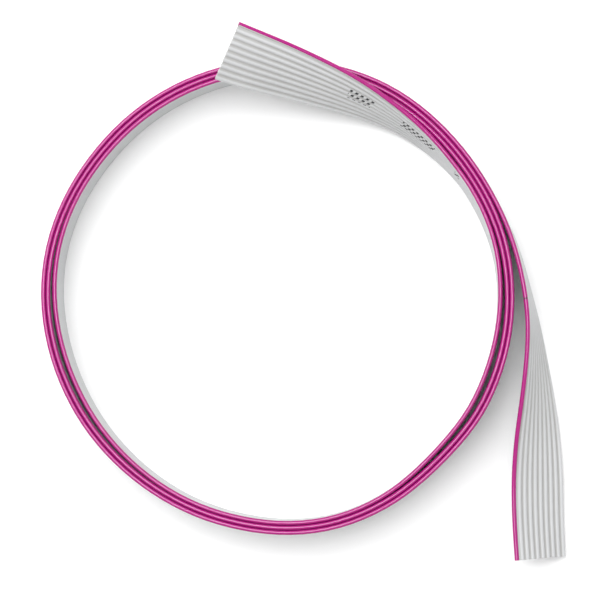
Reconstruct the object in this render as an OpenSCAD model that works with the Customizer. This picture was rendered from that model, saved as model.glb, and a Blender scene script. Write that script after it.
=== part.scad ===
// Flat ribbon cable, stored on edge as a small spiral ring with both ends led off it.
// The origin is the middle of the ring on the surface it stands on, and +X runs through
// the place where both ends leave the ring.

/* [Ribbon] */
// Number of wires side by side
ribs = 10; // [6:1:11]
// Distance from one wire to the next, centre to centre
rib_pitch = 1.27; // [1.1:0.01:1.6]
// Diameter of the insulation round each wire
rib_d = 0.89; // [0.8:0.01:1.0]
// Thickness of the web between two wires
web_t = 0.4; // [0.2:0.05:0.5]
// Diameter of the conductor inside each wire
conductor_d = 0.38; // [0.25:0.01:0.5]
// Room between the conductor and its insulation, all round
bore_gap = 0.01; // [0.005:0.005:0.03]

/* [Ring] */
// Radius of the outermost turn, to the middle of the ribbon's thickness
coil_r = 45.85; // [40:0.05:60]
// Number of turns
turns = 3; // [2:1:3]
// Gap between a turn and the next
turn_gap = 0.05; // [0.05:0.01:0.2]

/* [Ends] */
// Lengthways steps in the end that leaves the innermost turn
inner_steps = 7; // [5:1:10]
// Lengthways steps in the end that leaves the outermost turn
outer_steps = 10; // [8:1:14]

/* [Hidden] */

grey = "#dcdcda";
magenta = "#c0407c";
tin = "#c9cacc";

rib_r = rib_d / 2;
web_half = web_t / 2;
conductor_r = conductor_d / 2;
bore_r = conductor_r + bore_gap;
ribbon_w = rib_pitch * (ribs - 1) + rib_d;
mid_h = ribbon_w / 2;
// The coloured edge wire ends halfway across the web that joins it to its neighbour
colour_split = mid_h - rib_r - rib_pitch / 2;
grey_ribs = [2:ribs];
edge_rib = [1:1];

// The spiral is a run of half circles about two centres that lie half a step apart, so each
// is half a step smaller than the one before and starts where that one ends
half_step = (rib_d + turn_gap) / 2;
back_centre = [0.21, 0];
front_centre = back_centre - [half_step, 0];

// Routes of the two ends as guide points of a smooth curve, each an offset from the place
// where that end leaves the ring, with the ribbon's lean from upright in degrees
inner_route = [
    [-0.8, 6.5, 0.0, 2], [-3.1, 12.5, 0.4, 8], [-5.9, 18.5, 1.4, 16],
    [-9.3, 24.0, 2.8, 26], [-13.1, 29.1, 4.5, 37], [-17.1, 33.8, 6.3, 46],
    [-20.9, 38.1, 8.2, 55], [-24.6, 42.0, 10.3, 65], [-28.0, 45.9, 12.2, 73]];
outer_route = [
    [-0.1, -7.7, 0, 2], [-1.4, -15.2, 0, 4], [-3.5, -22.4, 0, 5],
    [-6.0, -29.5, -0.1, 11], [-9.4, -36.3, -0.3, 21], [-13.0, -43.0, -0.7, 34],
    [-16.8, -49.5, -1.2, 48], [-20.6, -56.1, -1.6, 56], [-24.3, -62.7, -1.9, 55],
    [-27.7, -69.5, -1.9, 54]];
// How briskly each curve sets off along the ring before it bends away
inner_lead = 6;
outer_lead = 7.5;

// Sides of each bore and conductor, and steps of a whole turn where it is drawn in facets
bore_sides = 6;
ring_sides = 128;

function conductor_name(i) = str("conductor_", i < 10 ? "0" : "", i);
// Height of a wire's centre above or below the ribbon's middle, counted from the top
function rib_offset(i) = mid_h - rib_r - rib_pitch * (i - 1);

// Radius of the half circle that is the h-th one from the outside, counted from 0
function half_r(h) = coil_r - half_step * h;

outer_exit = [back_centre[0] + half_r(0), 0, mid_h, 0];
inner_exit = [front_centre[0] + half_r(2 * turns - 1), 0, mid_h, 0];

// Guide points with two added before the first, so that the curve starts exactly at the exit
// and along the ring, and one after the last, so that it ends there without a bend
function full_route(exit, along, lead, route) =
    let (pts = [for (p = route) exit + p],
         before = pts[0] - 2 * lead * along,
         n = len(pts))
    concat([before, (6 * exit - before - pts[0]) / 4], pts, [2 * pts[n - 1] - pts[n - 2]]);

inner_curve = full_route(inner_exit, [0, 1, 0, 0], inner_lead, inner_route);
outer_curve = full_route(outer_exit, [0, -1, 0, 0], outer_lead, outer_route);

// Point and direction of a uniform cubic curve, t counting its spans
function curve_span(c, t) = min(floor(t), len(c) - 4);
function curve_sum(c, i, b) = (b[0] * c[i] + b[1] * c[i + 1] + b[2] * c[i + 2] + b[3] * c[i + 3]) / 6;
function curve_point(c, t) =
    let (i = curve_span(c, t), f = t - i)
    curve_sum(c, i, [pow(1 - f, 3), 3 * pow(f, 3) - 6 * f * f + 4,
                     -3 * pow(f, 3) + 3 * f * f + 3 * f + 1, pow(f, 3)]);
function curve_dir(c, t) =
    let (i = curve_span(c, t), f = t - i)
    curve_sum(c, i, [-3 * pow(1 - f, 2), 9 * f * f - 12 * f, -9 * f * f + 6 * f + 3, 3 * f * f]);

function xyz(v) = [v[0], v[1], v[2]];
function unit(v) = v / norm(v);
// The ribbon's place at t: its middle, the way its thickness faces and the way its width runs
function frame_at(c, t) =
    let (p = curve_point(c, t),
         along = unit(xyz(curve_dir(c, t))),
         up = unit([0, 0, 1] - along * along[2]),
         side = cross(along, up),
         width = cos(p[3]) * up + sin(p[3]) * side)
    [xyz(p), cross(width, along), width];
function place(frame, s) = frame[0] + frame[1] * s[0] + frame[2] * s[1];

// Corners of the cross-section are kept to a tenth of a micron, so that the ring and the ends
// meet at the very same points
function kept(size) = round(size * 10000) / 10000;

// Corners of a flat-sided rib: four on each side, from web to web
web_angle = asin(web_half / rib_r);
corner_angles = [for (k = [0:3]) web_angle + k * (180 - 2 * web_angle) / 3];
function rib_side(i, side) =
    [for (a = corner_angles) [side * kept(rib_r * sin(a)), kept(rib_offset(i) + rib_r * cos(a))]];
function flip(list) = [for (k = [len(list) - 1:-1:0]) list[k]];
function flat(lists) = [for (list = lists) each list];

// Outline of a run of ribs, clockwise from its top, with a rounded or a cut end each way
function outline(list, split_top, split_bottom) =
    let (first = list[0], last = list[len(list) - 1],
         top = split_top ? [[-web_half, colour_split], [web_half, colour_split]]
                         : [[0, rib_offset(first) + rib_r]],
         bottom = split_bottom ? [[web_half, colour_split], [-web_half, colour_split]]
                               : [[0, rib_offset(last) - rib_r]])
    concat(top, flat([for (i = list) rib_side(i, 1)]), bottom,
           flip(flat([for (i = list) rib_side(i, -1)])));
function hexagon(i, r) =
    [for (k = [0:bore_sides - 1])
        [kept(r * sin(30 + 60 * k)), kept(rib_offset(i) + r * cos(30 + 60 * k))]];

// Walls between one ring of points and the next, two triangles to each side, wound by the
// order of the loop
function walls(first, count, stride, steps) =
    [for (s = [0:steps - 1], k = [0:count - 1])
        let (a = s * stride + first + k, b = s * stride + first + (k + 1) % count)
        each [[a, b + stride, a + stride], [a, b, b + stride]]];

// End face of a run of ribs in convex pieces: round each bore, across each web, at both ends
function end_faces(n, top_n, bottom_n) =
    let (right = top_n, bottom = top_n + 4 * n, left = bottom + bottom_n,
         count = left + 4 * n)
    concat(
        [for (k = [0:n - 1])
            let (r = right + 4 * k, l = count - 1 - 4 * k, b = count + bore_sides * k)
            each [
                [r, r + 1, b + 1, b], [r + 1, r + 2, b + 1], [r + 2, r + 3, b + 2, b + 1],
                [l - 1, l, b + 5, b + 4], [l - 2, l - 1, b + 4], [l - 3, l - 2, b + 4, b + 3],
                [l, r, b, b + 5], [r + 3, l - 3, b + 3, b + 2]]],
        [for (k = [0:1:n - 2])
            let (r = right + 4 * k + 3, l = count - 4 - 4 * k)
            [l, r, r + 1, l - 1]],
        [concat([for (k = [0:top_n - 1]) k], [right, count - 1])],
        [concat([for (k = [0:bottom_n - 1]) bottom + k], [left, bottom - 1])]);

// Flat-sided ribs with their bores, swept along an end of the ribbon
module swept_ribs(curve, steps, range, split_top, split_bottom) {
    list = [for (i = range) i];
    edge = outline(list, split_top, split_bottom);
    section = concat(edge, flat([for (i = list) hexagon(i, bore_r)]));
    stride = len(section);
    spans = len(curve) - 3;
    frames = [for (s = [0:steps]) frame_at(curve, spans * s / steps)];
    start = end_faces(len(list), split_top ? 2 : 1, split_bottom ? 2 : 1);
    polyhedron(
        points = [for (f = frames, s = section) place(f, s)],
        faces = concat(
            walls(0, len(edge), stride, steps),
            [for (k = [0:len(list) - 1], f = walls(len(edge) + bore_sides * k, bore_sides, stride, steps))
                flip(f)],
            [for (f = start) flip(f)],
            [for (f = start) [for (v = f) v + steps * stride]]));
}

// One conductor, swept along an end of the ribbon
module swept_conductor(curve, steps, i) {
    section = hexagon(i, conductor_r);
    spans = len(curve) - 3;
    frames = [for (s = [0:steps]) frame_at(curve, spans * s / steps)];
    cap = [for (k = [0:bore_sides - 1]) k];
    polyhedron(
        points = [for (f = frames, s = section) place(f, s)],
        faces = concat(
            walls(0, bore_sides, bore_sides, steps),
            [flip(cap)],
            [[for (v = cap) v + steps * bore_sides]]));
}

// Sweeps the children, drawn in the ribbon's own cross-section, round every turn of the ring:
// first all the half circles at the back, then all those at the front
module ring() {
    for (half = [0, 1])
        translate(half == 0 ? back_centre : front_centre)
            rotate_extrude(angle = 180, start = 180 * half, $fn = ring_sides)
                for (turn = [0:turns - 1])
                    translate([half_r(2 * turn + half), mid_h])
                        children();
}

// The ribbon's cross-section over a run of ribs, with a bore for each conductor
module ribbon_section(range, split_top, split_bottom) {
    list = [for (i = range) i];
    difference() {
        polygon(outline(list, split_top, split_bottom));
        for (i = list) polygon(hexagon(i, bore_r));
    }
}

module insulation(range, split_top, split_bottom) {
    ring() ribbon_section(range, split_top, split_bottom);
    swept_ribs(inner_curve, inner_steps, range, split_top, split_bottom);
    swept_ribs(outer_curve, outer_steps, range, split_top, split_bottom);
}

module grey_insulation() {
    color(grey) insulation(grey_ribs, true, false);
}

module magenta_edge_insulation() {
    color(magenta) insulation(edge_rib, false, true);
}

module conductor(i) {
    color(tin) {
        ring() polygon(hexagon(i, conductor_r));
        swept_conductor(inner_curve, inner_steps, i);
        swept_conductor(outer_curve, outer_steps, i);
    }
}

grey_insulation();
magenta_edge_insulation();
for (i = [1:ribs])
    conductor(i);
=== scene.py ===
"""Dresses a ten-way flat ribbon cable that stands on edge in a small ring.

The cable is one extrusion, so everything on it is a cross-section carried along one path: in
along the outer end, round the ring's three turns, and out along the inner end. The path is worked
out from the same sizes and guide points as the solids, in metres.
"""

import logging
import math
from dataclasses import dataclass, field
from enum import Enum

import bpy
import numpy as np
from mathutils import Matrix, Vector
from mathutils.geometry import tessellate_polygon


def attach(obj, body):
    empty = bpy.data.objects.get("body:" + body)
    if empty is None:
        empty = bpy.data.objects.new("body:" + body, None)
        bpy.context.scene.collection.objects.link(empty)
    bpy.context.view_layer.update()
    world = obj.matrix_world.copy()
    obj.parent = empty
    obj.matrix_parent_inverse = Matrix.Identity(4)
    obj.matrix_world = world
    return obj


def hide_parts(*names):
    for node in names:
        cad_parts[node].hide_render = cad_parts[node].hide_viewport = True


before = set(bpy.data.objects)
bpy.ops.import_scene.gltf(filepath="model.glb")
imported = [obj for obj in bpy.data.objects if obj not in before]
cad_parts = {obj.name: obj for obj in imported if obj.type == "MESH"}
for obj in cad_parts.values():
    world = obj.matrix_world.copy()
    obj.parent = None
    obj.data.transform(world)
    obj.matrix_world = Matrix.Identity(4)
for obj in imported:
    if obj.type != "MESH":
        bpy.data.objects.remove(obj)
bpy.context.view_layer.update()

MM = 0.001
LOG = logging.getLogger("ribbon_cable")
Array = np.ndarray
Colour = tuple[float, float, float]
Socket = bpy.types.NodeSocket


@dataclass(frozen=True)
class RibbonSizes:
    """Sizes of the flat cable's cross-section, in metres.

    Attributes:
        ribs: Number of wires side by side.
        pitch: Distance between neighbouring wires' centres.
        rib_r: Radius of the insulation round a wire.
        web_half: Half the thickness of the web between two wires.
        conductor_r: Radius of the stranded conductor.
        bore_r: Radius of the hole that the conductor lies in.
    """

    ribs: int = 10
    pitch: float = 1.27 * MM
    rib_r: float = 0.445 * MM
    web_half: float = 0.2 * MM
    conductor_r: float = 0.19 * MM
    bore_r: float = 0.2 * MM

    @property
    def width(self) -> float:
        """Overall width of the ribbon."""
        return self.pitch * (self.ribs - 1) + 2 * self.rib_r

    @property
    def colour_split(self) -> float:
        """Height above the ribbon's middle where the coloured edge begins: at its rib's foot."""
        return self.rib_offset(1) - self.rib_r

    def rib_offset(self, index: int) -> float:
        """Height of a wire's centre above the ribbon's middle, wire 1 being the top one."""
        return self.width / 2 - self.rib_r - self.pitch * (index - 1)


def falling(off: Array) -> Array:
    """Half a cosine wave that falls from 1 at 0 to 0 at 1, and stays at either beyond them."""
    return (1 + np.cos(math.pi * np.clip(off, 0.0, 1.0))) / 2


@dataclass(frozen=True)
class Bulge:
    """A stretch of the ring that stands off its true circle.

    Attributes:
        middle_deg: Angle of its middle, from the part's X axis.
        reach_deg: Angle from its middle to either end.
        height: How far its middle stands off.
    """

    middle_deg: float
    reach_deg: float
    height: float

    def at(self, angle: Array) -> Array:
        """How far each place stands off: a cosine bump, 0 outside the stretch."""
        return self.height * falling(np.abs(angle - self.middle_deg) / self.reach_deg)

    def on_every_turn(self, angle: Array) -> Array:
        """The same bump, repeated after each whole turn."""
        return self.at(angle - 360.0 * np.round((angle - self.middle_deg) / 360.0))


@dataclass(frozen=True)
class Ring:
    """The ring of turns, as half circles about two centres that lie half a step apart.

    Attributes:
        outer_r: Radius of the first half circle, to the middle of the ribbon's thickness.
        turns: Number of turns.
        turn_gap: Gap between one turn and the next.
        back_x: Place along X of the centre of the half circles on the +Y side.
        slack: Stretches of the innermost turn, and of the end after it, that have sprung inwards,
            or outwards where it is negative.
        lean: Stretches of the same that lean in at the foot, in degrees.
        swell: Stretches where all the turns stand out together, or in where it is negative.
        swell_fade: Distance from the turns at which that has died away.
        shade_fade: Distance from them at which a free end is out of their shade.
        arc_step_deg: Angle between one cross-section and the next.
    """

    outer_r: float = 45.85 * MM
    turns: int = 3
    turn_gap: float = 0.05 * MM
    back_x: float = 0.21 * MM
    slack: tuple[Bulge, ...] = (
        Bulge(168.0, 50.0, 0.52 * MM), Bulge(308.0, 52.0, 0.66 * MM), Bulge(378.0, 17.0, -0.36 * MM),
    )
    lean: tuple[Bulge, ...] = (Bulge(362.0, 36.0, 4.0),)
    swell: tuple[Bulge, ...] = (
        Bulge(8.0, 30.0, -0.50 * MM), Bulge(142.0, 36.0, 0.60 * MM), Bulge(203.0, 38.0, -0.42 * MM),
        Bulge(252.0, 26.0, 0.50 * MM), Bulge(285.0, 18.0, -0.42 * MM),
    )
    swell_fade: float = 10.0 * MM
    shade_fade: float = 6.0 * MM
    arc_step_deg: float = 3.0

    def places(self, rib_r: float) -> tuple[Array, Array]:
        """Follows every turn from the outside in.

        The radius of a half circle is half a step less than the last one's, where a step is a
        rib and a gap, and the centre moves half a step too, so that the two meet.

        Args:
            rib_r: Radius of a rib.

        Returns:
            The flat place and the direction of travel at each cross-section.
        """
        half_step = rib_r + self.turn_gap / 2
        angle = np.linspace(0.0, 360.0 * self.turns, round(360 * self.turns / self.arc_step_deg) + 1)
        half = np.minimum((angle / 180).astype(int), 2 * self.turns - 1)
        radius = self.outer_r - half_step * half
        turn = np.radians(angle)
        place = np.stack([np.cos(turn), np.sin(turn)], axis=1) * radius[:, None]
        place[:, 0] += self.back_x - half_step * (half % 2)
        return place, np.stack([-np.sin(turn), np.cos(turn)], axis=1)

    def nearness(self, place: Array, rib_r: float, fade: float) -> Array:
        """How near each place is to the ring's band of turns: 1 in it, falling to 0 beside it.

        Args:
            place: Places along the cable.
            rib_r: Radius of a rib.
            fade: Distance from the band at which it is 0.

        Returns:
            The nearness of each place.
        """
        half_band = rib_r * self.turns
        radius = np.linalg.norm(place[:, :2], axis=1)
        return falling((np.abs(radius - (self.outer_r - half_band)) - half_band) / fade)

    def settling(self, place: Array, sizes: RibbonSizes) -> tuple[Array, Array]:
        """How far each place is pushed and leant, because a ring wound by hand isn't quite even.

        The push is level, away from the ring's middle. The swell depends on the angle round the
        ring, is the same for every turn, and fades out beside them, so that the free ends' tips
        stay. The slack and the lean are those of the innermost turn and the end after it, which
        lean about their top edge.

        Args:
            place: Places along the cable, from the outer end's tip to the inner one's.
            sizes: The cross-section's sizes.

        Returns:
            The push, and the lean in radians.
        """
        radius = np.linalg.norm(place[:, :2], axis=1)
        angle = np.degrees(np.unwrap(np.arctan2(place[:, 1], place[:, 0])))
        last_turn = angle - 360.0 * (self.turns - 1)
        out = sum(stretch.on_every_turn(angle) for stretch in self.swell)
        out = out * self.nearness(place, sizes.rib_r, self.swell_fade)
        lean = np.radians(sum(stretch.at(last_turn) for stretch in self.lean))
        out = out - sum(stretch.at(last_turn) for stretch in self.slack) - np.sin(lean) * sizes.width / 2
        return place * [1.0, 1.0, 0.0] * (out / radius)[:, None], lean[:, None]


RIBBON = RibbonSizes()
RING = Ring()


@dataclass(frozen=True)
class FreeEnd:
    """One end of the cable, from where it leaves the ring to its cut face.

    Attributes:
        points: Guide points as offsets from the exit in millimetres, with the ribbon's lean in degrees.
        along: Direction in which the end leaves the ring, along Y.
        lead: How briskly the curve sets off before it bends away, in millimetres.
        steps: Number of cross-sections along it.
    """

    points: tuple[tuple[float, float, float, float], ...]
    along: float
    lead: float
    steps: int

    def controls(self, exit_point: Array) -> Array:
        """Control points of the uniform cubic curve, in millimetres and degrees.

        Args:
            exit_point: Where the ribbon's middle leaves the ring, in millimetres.

        Returns:
            One row for each control point: x, y, z and lean.
        """
        start = np.append(exit_point, 0.0)
        guide = start + np.array(self.points)
        before = guide[0] - 2 * self.lead * np.array([0.0, self.along, 0.0, 0.0])
        joint = (6 * start - before - guide[0]) / 4
        after = 2 * guide[-1] - guide[-2]
        return np.vstack([before, joint, guide, after])


INNER_END = FreeEnd(
    points=(
        (-0.8, 6.5, 0.0, 2), (-3.1, 12.5, 0.4, 8), (-5.9, 18.5, 1.4, 16),
        (-9.3, 24.0, 2.8, 26), (-13.1, 29.1, 4.5, 37), (-17.1, 33.8, 6.3, 46),
        (-20.9, 38.1, 8.2, 55), (-24.6, 42.0, 10.3, 65), (-28.0, 45.9, 12.2, 73),
    ),
    along=1.0,
    lead=6.0,
    steps=40,
)
OUTER_END = FreeEnd(
    points=(
        (-0.1, -7.7, 0, 2), (-1.4, -15.2, 0, 4), (-3.5, -22.4, 0, 5),
        (-6.0, -29.5, -0.1, 11), (-9.4, -36.3, -0.3, 21), (-13.0, -43.0, -0.7, 34),
        (-16.8, -49.5, -1.2, 48), (-20.6, -56.1, -1.6, 56), (-24.3, -62.7, -1.9, 55),
        (-27.7, -69.5, -1.9, 54),
    ),
    along=-1.0,
    lead=7.5,
    steps=50,
)


@dataclass(frozen=True)
class CablePath:
    """Places of the ribbon's cross-section, from the outer cut face to the inner one.

    Attributes:
        middle: Middle of the ribbon at each place, in metres.
        across: Unit vector along the ribbon's width, from the grey edge to the coloured one.
        outward: Unit vector through the ribbon's thickness, away from the ring's middle.
        distance: Distance along the cable to each place.
        crowded: 1 among the ring's turns, falling to 0 along the free ends; it sets where the
        painted shade between the turns shows.
    """

    middle: Array
    across: Array
    outward: Array
    distance: Array
    crowded: Array

    @property
    def length(self) -> float:
        """The cable's whole length."""
        return float(self.distance[-1])

    def line(self, offset: float) -> Array:
        """The curve that runs at one height across the ribbon, such as a wire's own centre."""
        return self.middle + self.across * offset


def unit(vectors: Array) -> Array:
    """Each row scaled to length one."""
    return vectors / np.linalg.norm(vectors, axis=1, keepdims=True)


def end_places(end: FreeEnd, exit_point: Array) -> tuple[Array, Array, Array]:
    """Follows one free end away from the ring.

    A point is the uniform cubic B-spline of the guide points, and the ribbon's width is the
    upright direction turned about the curve by the lean.

    Args:
        end: The end to follow.
        exit_point: Where it leaves the ring, in metres.

    Returns:
        The middle, the width direction and the direction of travel at each place.
    """
    controls = end.controls(exit_point / MM)
    spans = len(controls) - 3
    t = np.linspace(0.0, spans, end.steps + 1)
    i = np.minimum(t.astype(int), spans - 1)
    f = t - i
    weights = np.stack([(1 - f) ** 3, 3 * f**3 - 6 * f**2 + 4, -3 * f**3 + 3 * f**2 + 3 * f + 1, f**3])
    slopes = np.stack([-3 * (1 - f) ** 2, 9 * f**2 - 12 * f, -9 * f**2 + 6 * f + 3, 3 * f**2])
    near = np.stack([controls[i + k] for k in range(4)])
    place = np.einsum("kn,knc->nc", weights, near) / 6
    travel = unit(np.einsum("kn,knc->nc", slopes, near)[:, :3])
    upright = np.array([0.0, 0.0, 1.0])
    up = unit(upright - travel * travel[:, 2:3])
    side = np.cross(travel, up)
    lean = np.radians(place[:, 3:4])
    return place[:, :3] * MM, np.cos(lean) * up + np.sin(lean) * side, travel


def cable_path(sizes: RibbonSizes, ring: Ring) -> CablePath:
    """Joins the outer end, the ring's half circles and the inner end into one path.

    The ring's settling is then added to it: the middle is pushed, the travel follows the push,
    and the width is set square to the travel and turned about it by the lean.

    Args:
        sizes: The cross-section's sizes.
        ring: The ring's sizes.

    Returns:
        The path, with its places about evenly spaced.
    """
    flat, flat_travel = ring.places(sizes.rib_r)
    arc = np.column_stack([flat, np.full(len(flat), sizes.width / 2)])
    arc_travel = np.column_stack([flat_travel, np.zeros(len(flat))])
    arc_across = np.tile([0.0, 0.0, 1.0], (len(flat), 1))

    outer = end_places(OUTER_END, arc[0])
    inner = end_places(INNER_END, arc[-1])
    middle = np.vstack([outer[0][:0:-1], arc, inner[0][1:]])
    across = np.vstack([outer[1][:0:-1], arc_across, inner[1][1:]])
    travel = np.vstack([-outer[2][:0:-1], arc_travel, inner[2][1:]])
    push, lean = ring.settling(middle, sizes)
    gaps = np.linalg.norm(np.diff(middle, axis=0), axis=1)
    distance = np.concatenate([[0.0], np.cumsum(gaps)])
    travel = unit(travel + np.gradient(push, distance, axis=0))
    across = unit(across - travel * np.sum(across * travel, axis=1, keepdims=True))
    across = across * np.cos(lean) + np.cross(travel, across) * np.sin(lean)
    # Where the painted shade between the turns shows
    crowded = ring.nearness(middle, sizes.rib_r, ring.shade_fade)
    return CablePath(middle + push, across, np.cross(travel, across), distance, crowded)


class Finish(Enum):
    """Material slots of the record."""

    GREY_PVC = "grey_pvc"
    MAGENTA_PVC = "magenta_pvc"
    TINNED_COPPER = "tinned_copper"


@dataclass(frozen=True)
class Profile:
    """A closed cross-section with round holes, in the ribbon's thickness and width.

    Attributes:
        outline: Corners of the outer loop, clockwise seen along the cable.
        holes: Corners of each hole's loop, in the same sense.
    """

    outline: Array
    holes: tuple[Array, ...] = ()

    @property
    def loops(self) -> list[Array]:
        """The outline, then the holes."""
        return [self.outline, *self.holes]

    @property
    def section(self) -> Array:
        """The corners of every loop, one after another."""
        return np.vstack(self.loops)


def rib_half_thickness(height: Array, centre: float, sizes: RibbonSizes) -> Array:
    """Half the ribbon's thickness at each height on a rib.

    It is a smooth maximum of the web's half thickness and the rib's circle, so that a small
    fillet fills the corner between them.

    Args:
        height: Heights across the ribbon.
        centre: Height of the rib's centre.
        sizes: The cross-section's sizes.

    Returns:
        Half the thickness at each height.
    """
    power = 6
    circle = np.sqrt(np.maximum(sizes.rib_r**2 - (height - centre) ** 2, 0.0))
    return (sizes.web_half**power + circle**power) ** (1 / power)


def circle_loop(centre: float, radius: float, sides: int) -> Array:
    """Corners of a circle about a wire's centre, clockwise from the top."""
    angle = np.arange(sides) * 2 * math.pi / sides
    return np.stack([radius * np.sin(angle), centre + radius * np.cos(angle)], axis=1)


# Angles from a rib's top to the points down its side, and which of them is its widest
RIB_ANGLES = np.radians([17, 34, 60, 90, 120, 146, 163])
RIB_MIDDLE = 3
# Angles of the points above the widest one where nothing joins the rib there
END_ANGLES = np.radians([12, 30, 50, 70])
# Sides of a bore and of a bundle of strands
BORE_SIDES = 6
STRAND_SIDES = 24


def rib_side(sizes: RibbonSizes, rib: int) -> Array:
    """Points down one side of a rib.

    They lie at fixed angles round its circle. Towards a web they keep to the fillet, and the top
    rib's upper half and the bottom rib's lower half are plain round.

    Args:
        sizes: The cross-section's sizes.
        rib: The rib's wire.

    Returns:
        Half the thickness and the height at each point.
    """
    angles = RIB_ANGLES
    plain_round = np.zeros(len(angles), dtype=bool)
    if rib == 1:
        angles = np.concatenate([END_ANGLES, RIB_ANGLES[RIB_MIDDLE:]])
        plain_round = angles < math.pi / 2
    if rib == sizes.ribs:
        angles = np.concatenate([RIB_ANGLES[:RIB_MIDDLE + 1], math.pi - END_ANGLES[::-1]])
        plain_round = angles > math.pi / 2
    centre = sizes.rib_offset(rib)
    height = centre + sizes.rib_r * np.cos(angles)
    half = rib_half_thickness(height, centre, sizes)
    return np.stack([np.where(plain_round, sizes.rib_r * np.sin(angles), half), height], axis=1)


def ribbed_profile(sizes: RibbonSizes, first: int, last: int) -> Profile:
    """Cross-section of a run of ribs joined by webs, with the bore in each.

    The right side is drawn from the top down and mirrored: each rib's points, with one more in
    the middle of each web. The run is round at the ribbon's own edges and cut square at the
    colour split.

    Args:
        sizes: The cross-section's sizes.
        first: The run's top wire.
        last: The run's bottom wire.

    Returns:
        The outline and the bores.
    """
    tip = np.array([[0.0, sizes.width / 2]])
    split = np.array([[sizes.web_half, sizes.colour_split]])
    top = [tip] if first == 1 else []
    bottom = [tip * [1, -1]] if last == sizes.ribs else []
    side = [] if top else [split]
    for rib in range(first, last + 1):
        side.append(rib_side(sizes, rib))
        if rib < last:
            side.append(np.array([[sizes.web_half, sizes.rib_offset(rib) - sizes.pitch / 2]]))
    right = np.vstack(side if bottom else [*side, split])
    outline = np.vstack([*top, right, *bottom, right[::-1] * [-1, 1]])
    bores = (circle_loop(sizes.rib_offset(rib), sizes.bore_r, BORE_SIDES) for rib in range(first, last + 1))
    return Profile(outline, tuple(bores))


def strand_profile(sizes: RibbonSizes, rib: int) -> Profile:
    """Cross-section of a bundle of seven equal strands, as its outer edge.

    Six strands stand round a middle one, each a third of the bundle across. The edge at an
    angle is the far side of the nearest strand's circle.

    Args:
        sizes: The cross-section's sizes.
        rib: The wire that the bundle lies in.

    Returns:
        A lobed outline with no holes.
    """
    strand_r = sizes.conductor_r / 3
    angle = np.arange(STRAND_SIDES) * 2 * math.pi / STRAND_SIDES
    lobe = math.pi / 3
    off = (angle + lobe / 2) % lobe - lobe / 2
    ring_r = 2 * strand_r
    reach = ring_r * np.cos(off) + np.sqrt(np.maximum(strand_r**2 - (ring_r * np.sin(off)) ** 2, 0.0))
    corners = np.stack([reach * np.sin(angle), sizes.rib_offset(rib) + reach * np.cos(angle)], axis=1)
    return Profile(corners)


def loop_faces(first: int, count: int, stride: int, rings: int, inward: bool) -> Array:
    """Quads between one cross-section and the next, for one loop of the profile.

    Args:
        first: Index of the loop's first corner.
        count: Corners in the loop.
        stride: Corners in the whole profile.
        rings: Number of cross-sections.
        inward: True for a hole, whose wall faces its own middle.

    Returns:
        One row of four corner indices for each face.
    """
    ring = np.arange(rings - 1)[:, None] * stride
    near = first + np.arange(count)[None, :]
    far = first + (np.arange(count)[None, :] + 1) % count
    a, b = ring + near, ring + far
    quads = np.stack([a, b, b + stride, a + stride], axis=-1).reshape(-1, 4)
    return quads[:, ::-1] if inward else quads


def cap_faces(profile: Profile) -> Array:
    """Triangles that fill the profile between its outline and its holes.

    Args:
        profile: The cross-section.

    Returns:
        One row of three corner indices for each triangle, anticlockwise seen along the cable.
    """
    flat = [[Vector((x / MM, y / MM, 0.0)) for x, y in loop] for loop in profile.loops]
    faces = np.array(tessellate_polygon(flat), dtype=int)
    a, b, c = (profile.section[faces[:, k]] for k in range(3))
    clockwise = np.cross(b - a, c - a) < 0
    return np.where(clockwise[:, None], faces[:, ::-1], faces)


# Depth of the shade at the side of an edge rib, where the turns crowd it, 1 being a web's
EDGE_SHADE = 0.9


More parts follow.
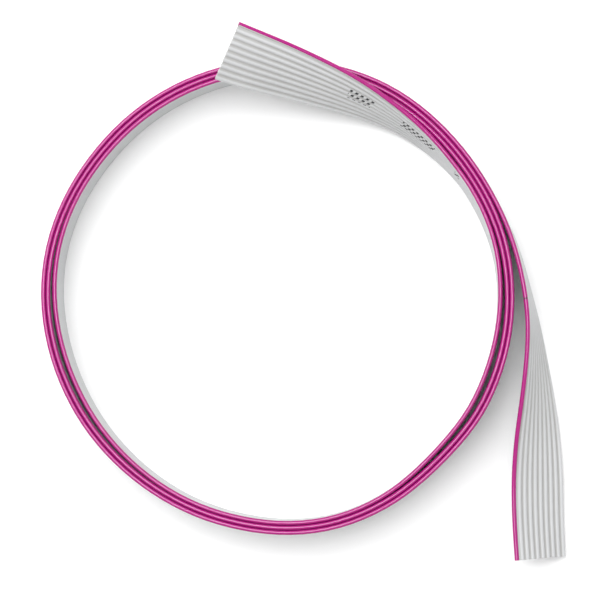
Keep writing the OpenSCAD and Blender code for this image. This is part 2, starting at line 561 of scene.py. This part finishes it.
@dataclass(frozen=True)
class SweptPiece:
    """A piece of the cable: one profile carried along the whole path.

    Attributes:
        name: The piece's name.
        node: The solid that it stands for.
        finish: The material slot of its finish; not used.
        profile: Its cross-section.
    """

    name: str
    node: str
    finish: Finish
    profile: Profile

    def corners(self, path: CablePath) -> Array:
        """Every corner of every cross-section: middle plus thickness and width offsets.

        Args:
            path: The cable's path.

        Returns:
            One row of three coordinates for each corner.
        """
        section = self.profile.section
        out = (
            path.middle[:, None, :]
            + path.outward[:, None, :] * section[None, :, :1]
            + path.across[:, None, :] * section[None, :, 1:]
        )
        return out.reshape(-1, 3)

    def build(self, path: CablePath, materials: list[bpy.types.Material]) -> bpy.types.Object:
        """Makes the mesh and sets it in place of its solid.

        Args:
            path: The cable's path.
            materials: The side's material, then the cut face's.

        Returns:
            The finished object.
        """
        rings, stride = len(path.middle), len(self.profile.section)
        walls: list[Array] = []
        first = 0
        for loop in self.profile.loops:
            walls.append(loop_faces(first, len(loop), stride, rings, inward=first > 0))
            first += len(loop)
        sides = np.vstack(walls)
        cap = cap_faces(self.profile)
        ends = np.vstack([cap, cap[:, ::-1] + stride * (rings - 1)])

        mesh = bpy.data.meshes.new(self.name)
        mesh.from_pydata(self.corners(path).tolist(), [], sides.tolist() + ends.tolist())
        mesh.polygons.foreach_set("use_smooth", [True] * len(sides) + [False] * len(ends))
        mesh.polygons.foreach_set("material_index", [0] * len(sides) + [1] * len(ends))
        self.sharpen_ends(mesh, stride, rings)
        self.lay_coordinates(mesh, path, stride)
        for material in materials:
            mesh.materials.append(material)
        piece = bpy.data.objects.new(self.name, mesh)
        bpy.context.scene.collection.objects.link(piece)
        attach(piece, "root")
        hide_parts(self.node)
        LOG.info("%s: %d faces", self.name, len(mesh.polygons))
        return piece

    def sharpen_ends(self, mesh: bpy.types.Mesh, stride: int, rings: int) -> None:
        """Marks every edge that lies in a cut face as sharp.

        Args:
            mesh: The piece's mesh.
            stride: Corners in the whole profile.
            rings: Number of cross-sections.
        """
        edges = np.empty(2 * len(mesh.edges), dtype=int)
        mesh.edges.foreach_get("vertices", edges)
        ring = edges.reshape(-1, 2) // stride
        sharp = (ring[:, 0] == ring[:, 1]) & ((ring[:, 0] == 0) | (ring[:, 0] == rings - 1))
        mesh.attributes.new("sharp_edge", "BOOLEAN", "EDGE").data.foreach_set("value", sharp)

    def lay_coordinates(self, mesh: bpy.types.Mesh, path: CablePath, stride: int) -> None:
        """Gives each corner its distance along the cable, its place across it and its depth.

        The UV map holds the distance along and the height across in metres. The attribute groove
        is 0 on a rib's crest and 1 at the web, and sets how deep the painted shade in the grooves
        is. Among the turns it also grows from the top of an edge rib down its side, as painted
        shade between the turns. The attribute inner_side is 1 on the side that faces the ring's
        middle.

        Args:
            mesh: The piece's mesh.
            path: The cable's path.
            stride: Corners in the whole profile.
        """
        section = self.profile.section
        loops = np.empty(len(mesh.loops), dtype=int)
        mesh.loops.foreach_get("vertex_index", loops)
        uv = np.stack([path.distance[loops // stride], section[loops % stride, 1]], axis=1)
        mesh.uv_layers.new(name="Cable").data.foreach_set("uv", uv.ravel())
        reach = np.abs(section[:, 0])
        crest, web = RIBBON.rib_r, RIBBON.web_half
        # Depth into a groove, which the materials turn into painted shade
        depth = np.clip((crest - reach) / (crest - web), 0.0, 1.0)
        from_top = RIBBON.width / 2 - np.abs(section[:, 1])
        # Painted shade between the turns: the edge rib darkens from its top down its side
        shaded = np.where(from_top < crest, EDGE_SHADE * from_top / crest, depth)
        open_to_light = np.where(from_top < crest, 0.0, depth)
        groove = open_to_light + path.crowded[:, None] * (shaded - open_to_light)
        inner_side = np.tile((section[:, 0] < 0).astype(float), len(path.middle))
        for name, values in (("groove", groove.ravel()), ("inner_side", inner_side)):
            mesh.attributes.new(name, "FLOAT", "POINT").data.foreach_set("value", values)


@dataclass(frozen=True)
class NodeSheet:
    """A small helper that adds and links shader nodes in one tree.

    Attributes:
        tree: The tree that the nodes go into.
    """

    tree: bpy.types.NodeTree

    def add(self, kind: str, **values: object) -> bpy.types.Node:
        """Adds a node and sets its properties and inputs.

        Args:
            kind: The node's type name.
            **values: Properties by their own name, or inputs by their name with in_ before it.

        Returns:
            The new node.
        """
        node = self.tree.nodes.new(kind)
        for name, value in values.items():
            if name.startswith("in_"):
                node.inputs[name[3:].replace("_", " ")].default_value = value
            else:
                setattr(node, name, value)
        return node

    def feed(self, value: object, socket: Socket) -> None:
        """Gives an input its value.

        Args:
            value: An output to link to it, or a plain value to set it to.
            socket: The input.
        """
        if isinstance(value, Socket):
            self.tree.links.new(value, socket)
        else:
            socket.default_value = value

    def fill(self, node: bpy.types.Node, values: dict[str, object]) -> None:
        """Gives a node's inputs their values, by the inputs' names."""
        for name, value in values.items():
            self.feed(value, node.inputs[name])

    def math(self, operation: str, *values: object) -> Socket:
        """Adds one Math node.

        Args:
            operation: The node's operation.
            *values: Outputs or plain numbers, one for each of its inputs.

        Returns:
            The node's output.
        """
        node = self.add("ShaderNodeMath", operation=operation)
        for value, socket in zip(values, node.inputs):
            self.feed(value, socket)
        return node.outputs[0]

    def mix(self, mask: Socket, first: object, second: object) -> Socket:
        """Adds one colour mix.

        Args:
            mask: 0 where the first colour shows and 1 where the second does.
            first: An output or a plain colour.
            second: Another.

        Returns:
            The mixed colour.
        """
        node = self.add("ShaderNodeMix", data_type="RGBA")
        # Its factor is input 0, its two colours are inputs 6 and 7, and the result is output 2
        for value, index in ((mask, 0), (first, 6), (second, 7)):
            self.feed(value, node.inputs[index])
        return node.outputs[2]

    def noise(self, place: Socket, scale: float, detail: float) -> Socket:
        """Adds one noise texture.

        Args:
            place: Where the noise is read.
            scale: How fine it is.
            detail: How many finer layers it has.

        Returns:
            The noise, about 0.5 on average.
        """
        node = self.add("ShaderNodeTexNoise", in_Scale=scale, in_Detail=detail)
        self.feed(place, node.inputs["Vector"])
        return node.outputs["Fac"]

    def stretched(self, value: Socket, low: float, high: float, start: float = 0.0) -> Socket:
        """Stretches a value over a range.

        Args:
            value: The value to stretch.
            low: What it becomes at the start and below it.
            high: What it becomes at 1.
            start: Where it starts to change.

        Returns:
            The stretched value.
        """
        node = self.add("ShaderNodeMapRange", in_From_Min=start, in_To_Min=low, in_To_Max=high)
        self.feed(value, node.inputs["Value"])
        return node.outputs["Result"]

    def bumped(self, height: Socket, strength: float, distance: float) -> Socket:
        """Adds one bump.

        Args:
            height: The height of the surface, from 0 to about 1.
            strength: How much of the bump shows.
            distance: How high it is where the height is 1.

        Returns:
            The normal.
        """
        node = self.add("ShaderNodeBump", in_Strength=strength, in_Distance=distance)
        self.feed(height, node.inputs["Height"])
        return node.outputs["Normal"]

    def object_place(self) -> Socket:
        """The place on the piece, in metres."""
        return self.add("ShaderNodeTexCoord").outputs["Object"]

    def attribute(self, name: str) -> Socket:
        """One of the mesh's own attributes."""
        return self.add("ShaderNodeAttribute", attribute_name=name).outputs["Fac"]


def new_material(name: str) -> tuple[bpy.types.Material, NodeSheet, bpy.types.Node]:
    """Starts a material with one shader.

    Args:
        name: The material's name.

    Returns:
        The material, its node sheet and its Principled shader.
    """
    material = bpy.data.materials.new(name)
    material.use_nodes = True
    shader = material.node_tree.nodes["Principled BSDF"]
    return material, NodeSheet(material.node_tree), shader


def opaque(colour: Colour) -> tuple[float, float, float, float]:
    """A linear colour with an alpha of one."""
    return (*colour, 1.0)


def vinyl_group() -> bpy.types.NodeTree:
    """The surface of extruded vinyl, shared by both colours.

    It mottles the colour a little, tints it towards the groove colour in the grooves as painted
    shade, and gives the roughness and the height of fine lines drawn along the cable.

    Returns:
        The node group.
    """
    group = bpy.data.node_groups.new("extruded_vinyl", "ShaderNodeTree")
    sockets = (
        ("INPUT", "NodeSocketVector", ("Place", "Along")),
        ("INPUT", "NodeSocketFloat", ("Groove", "Gloss")),
        ("INPUT", "NodeSocketColor", ("Colour", "Groove Shade Colour")),
        ("OUTPUT", "NodeSocketColor", ("Colour",)),
        ("OUTPUT", "NodeSocketFloat", ("Roughness", "Height")),
    )
    for side, kind, names in sockets:
        for name in names:
            group.interface.new_socket(name=name, in_out=side, socket_type=kind)
    sheet = NodeSheet(group)
    given = sheet.add("NodeGroupInput").outputs

    mottle = sheet.noise(given["Place"], scale=140.0, detail=3.0)
    # Painted shade: deeper in a groove the colour darkens towards the groove colour
    depth = sheet.stretched(given["Groove"], low=0.0, high=0.85, start=0.35)
    shaded = sheet.add("ShaderNodeVectorMath", operation="SCALE")
    sheet.fill(shaded, {
        "Vector": sheet.mix(depth, given["Colour"], given["Groove Shade Colour"]),
        "Scale": sheet.stretched(mottle, low=0.93, high=1.04),
    })

    # Noise far finer across the cable than along it makes lines
    drawn = sheet.add("ShaderNodeMapping", in_Scale=(60.0, 9000.0, 1.0))
    sheet.feed(given["Along"], drawn.inputs["Vector"])
    lines = sheet.noise(drawn.outputs["Vector"], scale=1.0, detail=4.0)
    rough = sheet.math("ADD", given["Gloss"], sheet.stretched(lines, low=-0.07, high=0.09))
    rough.node.use_clamp = True

    peel = sheet.noise(given["Place"], scale=2600.0, detail=2.0)
    peel_share = 0.4
    sheet.fill(sheet.add("NodeGroupOutput"), {
        "Colour": shaded.outputs["Vector"],
        "Roughness": rough,
        "Height": sheet.math("MULTIPLY_ADD", peel, peel_share, lines),
    })
    return group


@dataclass(frozen=True)
class PrintedMarks:
    """Plain ink ticks printed along the ribbon's inner side: short bars and nothing to read.

    Attributes:
        rows: Distance along the cable to the middle of each row of ticks, and its length.
        spacing: Distance from one tick to the next.
        share: Share of the spacing that a tick fills.
        slant: How much sooner along the cable a tick starts for each unit of height.
        height: Height of the rows' middle above the ribbon's middle.
        half_height: Half the width of the printed band.
        deepest: How far down into a groove the ink reaches, from 0 to 1.
        ink: Colour of the ink, linear.
    """

    rows: tuple[tuple[float, float], ...]
    spacing: float = 1.2 * MM
    share: float = 0.5
    slant: float = 0.35
    height: float = 1.3 * MM
    half_height: float = 1.7 * MM
    deepest: float = 0.6
    ink: Colour = (0.01, 0.01, 0.012)

    def over(self, sheet: NodeSheet, colour: Socket, along: Socket, groove: Socket) -> Socket:
        """Prints the ticks over a colour.

        A place is inked where it lies on the inner side, near a rib's crest, within the band,
        within one of the rows, and in the inked share of the spacing.

        Args:
            sheet: The material's node sheet.
            colour: The colour under the ink.
            along: The distance along the cable and the height across it.
            groove: Depth into the groove, from 0 to 1.

        Returns:
            The printed colour.
        """
        place = sheet.add("ShaderNodeSeparateXYZ")
        sheet.feed(along, place.inputs[0])
        distance, height = place.outputs["X"], place.outputs["Y"]
        slanted = sheet.math("MULTIPLY_ADD", height, self.slant, distance)
        share = sheet.math("FRACT", sheet.math("DIVIDE", slanted, self.spacing))
        mask: Socket | float = 0.0
        for middle, length in self.rows:
            mask = sheet.math("ADD", mask, sheet.math("COMPARE", distance, middle, length / 2))
        for limit in (
            sheet.math("LESS_THAN", share, self.share),
            sheet.math("COMPARE", height, self.height, self.half_height),
            sheet.math("LESS_THAN", groove, self.deepest),
            sheet.attribute("inner_side"),
        ):
            mask = sheet.math("MULTIPLY", mask, limit)
        return sheet.mix(mask, colour, opaque(self.ink))


@dataclass(frozen=True)
class EdgeStripe:
    """The limit of the coloured edge, below which its rib is the colour of the other ribs.

    Attributes:
        top: Height of the ribbon's top above its middle.
        crest: Colour of the rib's crest below the limit, linear.
        web: Colour of the groove beside it, painted there as shade, linear.
        outer_reach: How far the colour reaches down the side away from the ring's middle.
        inner_reach: How far it reaches down the other side.
        dark_band: Distance along the cable to a small dark band painted across the coloured edge.
        dark_band_half: Half the band's length.
        dark_band_colour: Colour of the band, linear.
    """

    top: float
    crest: Colour
    web: Colour
    outer_reach: float = 0.80 * MM
    inner_reach: float = 0.52 * MM
    dark_band: float = 51.0 * MM
    dark_band_half: float = 0.16 * MM
    dark_band_colour: Colour = (0.10, 0.002, 0.045)

    def over(self, sheet: NodeSheet, colour: Socket, along: Socket, groove: Socket) -> Socket:
        """Darkens a small band across the edge, and lays the other ribs' colour over the part below the
        limit.

        Args:
            sheet: The material's node sheet.
            colour: The coloured edge's own colour.
            along: The distance along the cable and the height across it.
            groove: Depth into the groove, from 0 to 1, which sets the painted shade below the limit.

        Returns:
            The colour of both parts.
        """
        place = sheet.add("ShaderNodeSeparateXYZ")
        sheet.feed(along, place.inputs[0])
        shorter = self.outer_reach - self.inner_reach
        inner_side = sheet.attribute("inner_side")
        limit = sheet.math("MULTIPLY_ADD", inner_side, shorter, self.top - self.outer_reach)
        below = sheet.math("LESS_THAN", place.outputs["Y"], limit)
        # A small dark band across the coloured edge, given as a darker colour only
        in_dark_band = sheet.math("COMPARE", place.outputs["X"], self.dark_band, self.dark_band_half)
        marked = sheet.mix(in_dark_band, colour, opaque(self.dark_band_colour))
        # Below the limit the other ribs' colour darkens into its groove as painted shade
        return sheet.mix(below, marked, sheet.mix(groove, opaque(self.crest), opaque(self.web)))


@dataclass(frozen=True)
class Vinyl:
    """Satin vinyl insulation.

    Attributes:
        name: The material's name.
        crest: Colour of the ribs' crests, linear.
        web: Colour in the grooves, painted there as shade, linear.
        gloss: Mean roughness.
        shine: Strength of the reflection straight on, 0.5 being that of plain vinyl.
        overlay: Ink or a second colour over it.
    """

    name: str
    crest: Colour
    web: Colour
    gloss: float
    shine: float
    overlay: PrintedMarks | EdgeStripe

    def build(self, group: bpy.types.NodeTree) -> bpy.types.Material:
        """Makes the material of the extruded sides.

        Args:
            group: The shared vinyl surface.

        Returns:
            The material.
        """
        material, sheet, shader = new_material(self.name)
        along = sheet.add("ShaderNodeUVMap", uv_map="Cable").outputs["UV"]
        groove = sheet.attribute("groove")
        surface = sheet.add("ShaderNodeGroup", node_tree=group)
        # The groove colour is painted shade, which the group lays on by the groove depth
        sheet.fill(surface, {
            "Colour": opaque(self.crest),
            "Groove Shade Colour": opaque(self.web),
            "Gloss": self.gloss,
            "Place": sheet.object_place(),
            "Along": along,
            "Groove": groove,
        })
        made = surface.outputs
        sheet.fill(shader, {
            "Base Color": self.overlay.over(sheet, made["Colour"], along, groove),
            "Roughness": made["Roughness"],
            "Normal": sheet.bumped(made["Height"], strength=0.25, distance=0.03 * MM),
            "IOR": 1.53,
            "Specular IOR Level": self.shine,
        })
        return material

    def build_cut(self) -> bpy.types.Material:
        """Makes the dull material of the cut faces, scored across by the blade.

        Returns:
            The material.
        """
        material, sheet, shader = new_material(f"{self.name}_cut")
        scores = sheet.noise(sheet.object_place(), scale=5000.0, detail=3.0)
        soft = sheet.stretched(scores, low=0.0, high=0.4)
        sheet.fill(shader, {
            "Base Color": sheet.mix(soft, opaque(self.crest), opaque(self.web)),
            "Normal": sheet.bumped(scores, strength=0.5, distance=0.04 * MM),
            "Roughness": 0.6,
        })
        return material


@dataclass(frozen=True)
class TinnedCopper:
    """Thin tinned copper strands, bright with a little tarnish.

    Attributes:
        name: The material's name.
        bright: Colour of clean tin, linear.
        dull: Colour of tarnished tin, linear.
    """

    name: str = "tinned_strands"
    bright: Colour = (0.78, 0.77, 0.74)
    dull: Colour = (0.42, 0.40, 0.37)

    def build(self) -> bpy.types.Material:
        """Makes the material: a metal whose colour and roughness both follow the tarnish.

        Returns:
            The material.
        """
        material, sheet, shader = new_material(self.name)
        tarnish = sheet.noise(sheet.object_place(), scale=3500.0, detail=4.0)
        sheet.fill(shader, {
            "Base Color": sheet.mix(tarnish, opaque(self.bright), opaque(self.dull)),
            "Roughness": sheet.stretched(tarnish, low=0.2, high=0.5),
            "Metallic": 1.0,
        })
        return material


# Crest colours of the two vinyls, and the darker groove colours painted as shade, linear
GREY: Colour = (0.54, 0.547, 0.553)
GREY_WEB: Colour = (0.41, 0.405, 0.395)
MAGENTA: Colour = (0.37, 0.002, 0.172)
MAGENTA_WEB: Colour = (0.085, 0.0004, 0.024)
# Distance from the inner end's tip to the middle of each row of ticks, and the row's length
TICK_ROWS = ((28.1 * MM, 5.4 * MM), (41.8 * MM, 8.4 * MM), (53.0 * MM, 1.6 * MM))


@dataclass
class RibbonCable:
    """The whole cable: two colours of insulation and the conductors inside them.

    Attributes:
        sizes: The cross-section's sizes.
        path: The path that every piece follows.
        pieces: The pieces made so far, except the coloured edge.
    """

    sizes: RibbonSizes
    path: CablePath
    pieces: list[bpy.types.Object] = field(default_factory=list)

    def build(self) -> None:
        group = vinyl_group()
        ticks = PrintedMarks(tuple((self.path.length - from_tip, length) for from_tip, length in TICK_ROWS))
        stripe = EdgeStripe(self.sizes.width / 2, GREY, GREY_WEB)
        grey = Vinyl("grey_vinyl", GREY, GREY_WEB, gloss=0.36, shine=0.4, overlay=ticks)
        magenta = Vinyl("magenta_vinyl", MAGENTA, MAGENTA_WEB, gloss=0.17, shine=0.5, overlay=stripe)
        lower = ribbed_profile(self.sizes, 2, self.sizes.ribs)
        ribs = SweptPiece("grey_ribs", "grey_insulation", Finish.GREY_PVC, lower)
        self.pieces.append(ribs.build(self.path, [grey.build(group), grey.build_cut()]))
        top = ribbed_profile(self.sizes, 1, 1)
        edge_rib = SweptPiece("magenta_edge", "magenta_edge_insulation", Finish.MAGENTA_PVC, top)
        edge = edge_rib.build(self.path, [magenta.build(group), magenta.build_cut()])
        tin = TinnedCopper().build()
        for rib in range(1, self.sizes.ribs + 1):
            bundle = strand_profile(self.sizes, rib)
            strands = SweptPiece(f"strands_{rib:02d}", f"conductor_{rib:02d}", Finish.TINNED_COPPER, bundle)
            self.pieces.append(strands.build(self.path, [tin, tin]))
        self.declare()

    def declare(self) -> None:
        line = self.path.line(self.sizes.rib_offset(1))


@dataclass(frozen=True)
class SoftLight:
    """A square soft light that faces the ring's middle.

    Attributes:
        name: The light's name.
        point: Where it hangs, in the picture's directions, in millimetres.
        size: Its side in millimetres.
        power: Its power in watts.
        reflected: True where only reflections show it, and False where only plain surfaces do.
        colour: Its colour.
    """

    name: str
    point: tuple[float, float, float]
    size: float
    power: float
    reflected: bool
    colour: Colour = (1.0, 1.0, 1.0)


@dataclass(frozen=True)
class Studio:
    """The pale floor, the soft lights and the camera, placed as the photograph has them.

    Places are in millimetres in the photograph's own directions: x to the right, y up the
    picture and z towards the camera, from the ring's middle on the floor.

    Attributes:
        turn_deg: Angle from the part's X axis to the picture's right-hand side.
        origin: Where the picture's ring has its middle, in the part's frame.
        eye: Where the camera stands.
        target: What it looks at.
        pixels_per_mm: Scale of the picture at the target.
        image_size: Width and height of the picture in pixels.
        lights: The lights overhead.
        sky: Strength of the white light from all round.
        floor_half: Half the floor's side in metres.
        floor_white: How white the floor is.
    """

    turn_deg: float = -30.0
    origin: tuple[float, float] = (0.02, 0.335)
    eye: tuple[float, float, float] = (35.0, -21.0, 650.0)
    target: tuple[float, float, float] = (3.55, -0.55, 0.0)
    pixels_per_mm: float = 5.05
    image_size: int = 600
    lights: tuple[SoftLight, ...] = (
        SoftLight("key", (-140.0, 230.0, 640.0), 620.0, 4.9, reflected=False),
        SoftLight("glint", (-60.0, 110.0, 700.0), 440.0, 6.0, reflected=True, colour=(0.86, 0.92, 1.0)),
    )
    sky: float = 0.72
    floor_half: float = 1.5
    floor_white: float = 0.98

    def place(self, point: tuple[float, float, float]) -> Vector:
        """Turns a point from the picture's directions to the part's frame, in metres."""
        return (self.turned(Vector(point)) + Vector((*self.origin, 0.0))) * MM

    def turned(self, vector: Vector) -> Vector:
        """Turns a direction from the picture's to the part's."""
        return Matrix.Rotation(math.radians(self.turn_deg), 3, "Z") @ vector

    def build(self) -> None:
        """Makes the floor, the lights and the camera."""
        bpy.context.scene.view_settings.view_transform = "Standard"
        self.build_floor()
        for light in self.lights:
            self.add_light(light)
        world = bpy.data.worlds.new("studio")
        world.use_nodes = True
        background = world.node_tree.nodes["Background"]
        background.inputs["Color"].default_value = opaque((1.0, 1.0, 1.0))
        background.inputs["Strength"].default_value = self.sky
        bpy.context.scene.world = world
        self.add_camera()

    def build_floor(self) -> None:
        """Makes the pale floor that the cable stands on."""
        half = self.floor_half
        corners = [(-half, -half, 0.0), (half, -half, 0.0), (half, half, 0.0), (-half, half, 0.0)]
        mesh = bpy.data.meshes.new("floor")
        mesh.from_pydata(corners, [], [(0, 1, 2, 3)])
        material, _, shader = new_material("pale_floor")
        shader.inputs["Base Color"].default_value = opaque((self.floor_white,) * 3)
        shader.inputs["Roughness"].default_value = 0.85
        mesh.materials.append(material)
        floor = bpy.data.objects.new("floor", mesh)
        bpy.context.scene.collection.objects.link(floor)

    def add_light(self, light: SoftLight) -> None:
        """Hangs one light and aims it at the ring's middle.

        Args:
            light: What it is and where it hangs.
        """
        data = bpy.data.lights.new(light.name, "AREA")
        data.size, data.energy, data.color = light.size * MM, light.power, light.colour
        lamp = bpy.data.objects.new(light.name, data)
        lamp.visible_glossy, lamp.visible_diffuse = light.reflected, not light.reflected
        lamp.location = self.place(light.point)
        aim = self.place((0.0, 0.0, 0.0)) - lamp.location
        lamp.rotation_euler = aim.to_track_quat("-Z", "Y").to_euler()
        bpy.context.scene.collection.objects.link(lamp)

    def add_camera(self) -> None:
        """Stands the camera where the photograph was taken from and makes it the scene's."""
        eye, target = self.place(self.eye), self.place(self.target)
        forward = (target - eye).normalized()
        right = forward.cross(self.turned(Vector((0.0, 1.0, 0.0)))).normalized()
        up = right.cross(forward)
        data = bpy.data.cameras.new("camera")
        distance_mm = (target - eye).length / MM
        data.angle = 2 * math.atan(self.image_size / 2 / (self.pixels_per_mm * distance_mm))
        data.clip_start, data.clip_end = 0.01, 10.0
        camera = bpy.data.objects.new("camera", data)
        axes = Matrix((right, up, -forward)).transposed().to_4x4()
        camera.matrix_world = Matrix.Translation(eye) @ axes
        bpy.context.scene.collection.objects.link(camera)
        bpy.context.scene.camera = camera


def main() -> None:
    """Builds the studio, then the cable."""
    logging.basicConfig(level=logging.INFO, format="%(name)s: %(message)s")
    Studio().build()
    RibbonCable(RIBBON, cable_path(RIBBON, RING)).build()


if __name__ == "__main__":
    main()
